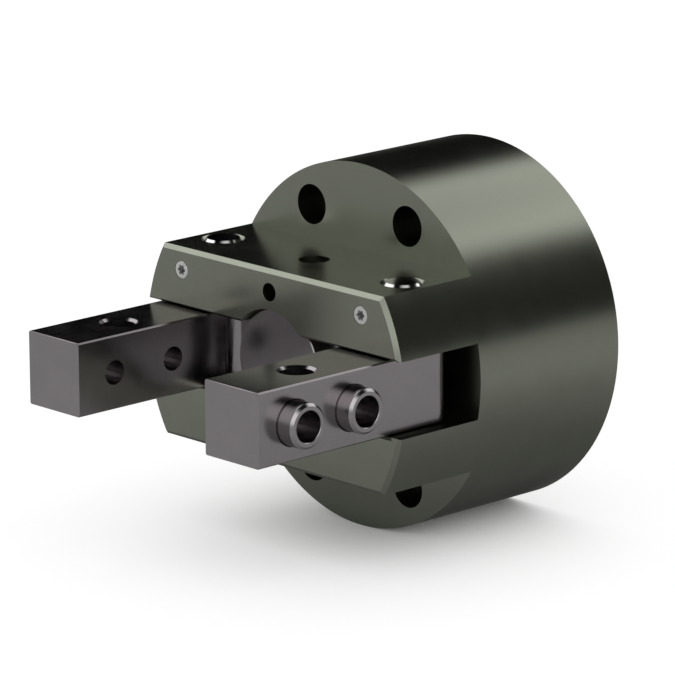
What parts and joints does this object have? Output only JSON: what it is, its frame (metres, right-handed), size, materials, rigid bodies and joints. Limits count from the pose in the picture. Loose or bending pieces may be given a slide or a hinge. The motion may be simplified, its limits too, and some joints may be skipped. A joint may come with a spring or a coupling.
{
  "type": "angular gripper",
  "caption": "Round-bodied pneumatic gripper whose fingers swing apart on pivot pins, worked by a grooved plunger, with threaded tool holes and centring sleeves on the fingers.",
  "frame": {"origin": "centre of the rear mounting face", "axes": "+Y out of the rear face, along the gripper's axis; the fingers point along -Y; +Z along the pivot pins, towards the cheek with the clamp screws; +X across the jaws"},
  "size_m": [0.05, 0.0628, 0.05],
  "materials": {
    "anodised_housing": "hard anodised, dark olive grey, satin",
    "cover_aluminium": "hard anodised, turned face",
    "jaw_steel": "hardened, finely ground, dark purple grey",
    "plunger_steel": "hardened, turned, dark grey",
    "sleeve_steel": "turned, bright chamfer",
    "pin_steel": "ground and polished",
    "screw_steel": "bright end face, dark socket",
    "spring_steel": "phosphated spring steel",
    "piston_aluminium": "turned, bare",
    "seal_rubber": "black nitrile rubber",
    "bumper_rubber": "amber polyurethane",
    "guide_plastic": "filled sliding plastic",
    "bushing_bronze": "sintered bronze"
  },
  "bodies": {
    "housing_body": {"housing": "anodised_housing", "rear_cover": "cover_aluminium", "cover_seal": "seal_rubber", "retaining_ring": "spring_steel", "rod_seal": "seal_rubber", "rod_bushing": "bushing_bronze", "front_bumper": "bumper_rubber", "rear_bumper": "bumper_rubber", "pivot_pins": "pin_steel", "pin_set_screws": "screw_steel"},
    "plunger_body": {"plunger": "plunger_steel", "piston": "piston_aluminium", "piston_seal": "seal_rubber", "piston_guide_ring": "guide_plastic", "piston_joint_seal": "seal_rubber", "piston_screw": "screw_steel"},
    "jaw_left_body": {"jaw_left": "jaw_steel", "sleeves_left": "sleeve_steel"},
    "jaw_right_body": {"jaw_right": "jaw_steel", "sleeves_right": "sleeve_steel"}
  },
  "joints": [
    {"name": "plunger_slide", "type": "slide", "parent": "housing_body", "child": "plunger_body", "axis": [0, -1, 0], "range_m": [-0.00056, 0.0028]},
    {"name": "jaw_left_pivot", "type": "hinge", "parent": "housing_body", "child": "jaw_left_body", "pos_m": [-0.01735, -0.0327, 0], "axis": [0, 0, -1], "range_deg": [-3.2, 15.2]},
    {"name": "jaw_right_pivot", "type": "hinge", "parent": "housing_body", "child": "jaw_right_body", "pos_m": [0.01735, -0.0327, 0], "axis": [0, 0, 1], "range_deg": [-3.2, 15.2]}
  ],
  "couplings": [
    {"joint": "jaw_left_pivot", "follows": "plunger_slide", "rad_per_m": 93.491},
    {"joint": "jaw_right_pivot", "follows": "plunger_slide", "rad_per_m": 93.491}
  ]
}
